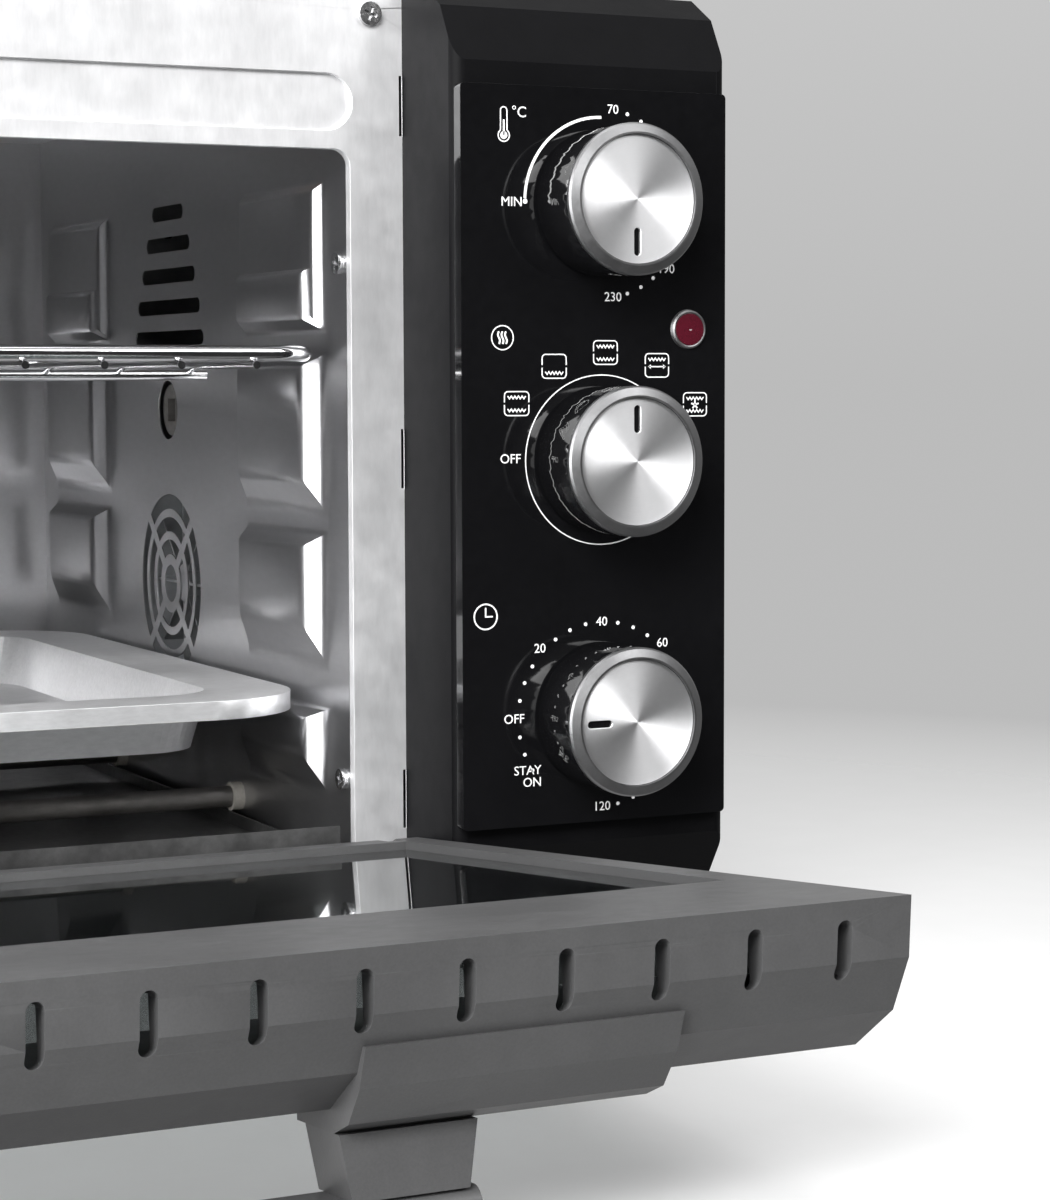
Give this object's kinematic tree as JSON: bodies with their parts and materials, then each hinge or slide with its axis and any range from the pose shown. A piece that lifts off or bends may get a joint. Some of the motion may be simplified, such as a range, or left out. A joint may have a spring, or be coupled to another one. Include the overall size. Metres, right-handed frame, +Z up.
{
  "type": "toaster oven",
  "caption": "Counter-top toaster oven with a drop-down glass door, wire rack, baking tray and a side panel with three rotary knobs.",
  "frame": {"origin": "on the table, below the middle of the whole oven with its door open", "axes": "+Z up, +Y from the door towards the back, +X towards the control side"},
  "size_m": [0.488, 0.668, 0.322],
  "materials": {
    "plated_steel": "bright aluminised sheet, fine grain",
    "cavity_steel": "satin aluminised sheet, softly reflecting",
    "cabinet_paint": "satin black powder coat on sheet steel",
    "zinc_sheet": "galvanised sheet",
    "satin_black_plastic": "satin black moulded plastic",
    "gloss_black_plate": "high gloss black",
    "knob_black": "gloss black moulded plastic",
    "spun_aluminium": "spun, with circular lines",
    "bright_ring": "satin chrome plating",
    "chrome_wire": "chromed steel wire",
    "tray_steel": "plated sheet steel",
    "screw_steel": "zinc plated steel",
    "lens_red": "clear dark wine red",
    "clear_glass": "clear tempered glass",
    "element_sheath": "heat-dulled steel tube",
    "white_insulator": "glazed insulator",
    "rubber_black": "matt rubber",
    "tan_resin": "thermoset resin",
    "copper_bulb": "plain copper",
    "gland_nylon": "matt nylon"
  },
  "bodies": {
    "oven": {"front_frame": "plated_steel", "cavity_ceiling": "cavity_steel", "cavity_floor": "cavity_steel", "cavity_left_wall": "cavity_steel", "cavity_right_wall": "cavity_steel", "cavity_back_wall": "cavity_steel", "cabinet_shell": "cabinet_paint", "back_panel": "zinc_sheet", "base_pan": "zinc_sheet", "control_housing": "satin_black_plastic", "control_plate": "gloss_black_plate", "indicator_bezel": "bright_ring", "indicator_lens": "lens_red", "thermostat_body": "tan_resin", "thermostat_bulb": "copper_bulb", "selector_switch": "white_insulator", "timer_body": "zinc_sheet", "fan_shroud": "zinc_sheet", "fan_motor": "zinc_sheet", "rotisserie_motor": "zinc_sheet", "upper_heating_elements": "element_sheath", "lower_heating_elements": "element_sheath", "element_insulators": "white_insulator", "element_terminals": "screw_steel", "crumb_tray": "tray_steel", "feet": "satin_black_plastic", "foot_pads": "rubber_black", "rear_spacers": "satin_black_plastic", "cord_gland": "gland_nylon", "terminal_block": "white_insulator", "thermal_cutout": "screw_steel", "hinge_lugs": "zinc_sheet", "hinge_pins": "screw_steel", "frame_screws": "screw_steel", "cavity_screws": "screw_steel", "back_screws": "screw_steel", "foot_screws": "screw_steel"},
    "door": {"door_frame": "satin_black_plastic", "door_inner_glass": "clear_glass", "door_outer_glass": "clear_glass", "handle_posts": "satin_black_plastic", "handle_grip": "satin_black_plastic", "handle_screws": "screw_steel"},
    "rack": {"wire_rack": "chrome_wire"},
    "tray": {"baking_tray": "tray_steel"},
    "fan": {"fan_impeller": "zinc_sheet"},
    "spit_drive": {"rotisserie_socket": "screw_steel"},
    "temperature_control": {"temperature_knob": "knob_black", "temperature_ring": "bright_ring", "temperature_disc": "spun_aluminium", "temperature_shaft": "screw_steel"},
    "function_control": {"function_knob": "knob_black", "function_ring": "bright_ring", "function_disc": "spun_aluminium", "function_shaft": "screw_steel"},
    "timer_control": {"timer_knob": "knob_black", "timer_ring": "bright_ring", "timer_disc": "spun_aluminium", "timer_shaft": "screw_steel"}
  },
  "joints": [
    {"name": "door_hinge", "type": "hinge", "parent": "oven", "child": "door", "pos_m": [-0.049, -0.05343, 0.039], "axis": [-1, 0, 0], "range_deg": [0, 84.5]},
    {"name": "rack_slide", "type": "slide", "parent": "oven", "child": "rack", "axis": [0, 1, 0], "range_m": [-0.29, 0]},
    {"name": "tray_slide", "type": "slide", "parent": "oven", "child": "tray", "axis": [0, 1, 0], "range_m": [-0.24, 0]},
    {"name": "temperature_turn", "type": "hinge", "parent": "oven", "child": "temperature_control", "pos_m": [0.1964, -0.09343, 0.2515], "axis": [0, 1, 0], "range_deg": [-270, 0]},
    {"name": "function_turn", "type": "hinge", "parent": "oven", "child": "function_control", "pos_m": [0.1964, -0.09343, 0.1715], "axis": [0, 1, 0], "range_deg": [-90, 60]},
    {"name": "timer_turn", "type": "hinge", "parent": "oven", "child": "timer_control", "pos_m": [0.1964, -0.09343, 0.091], "axis": [0, 1, 0], "range_deg": [-50, 270]},
    {"name": "fan_spin", "type": "hinge", "parent": "oven", "child": "fan", "pos_m": [0.148, 0.13957, 0.121], "axis": [1, 0, 0], "continuous": true},
    {"name": "spit_spin", "type": "hinge", "parent": "oven", "child": "spit_drive", "pos_m": [0.138, 0.14057, 0.186], "axis": [1, 0, 0], "continuous": true}
  ]
}
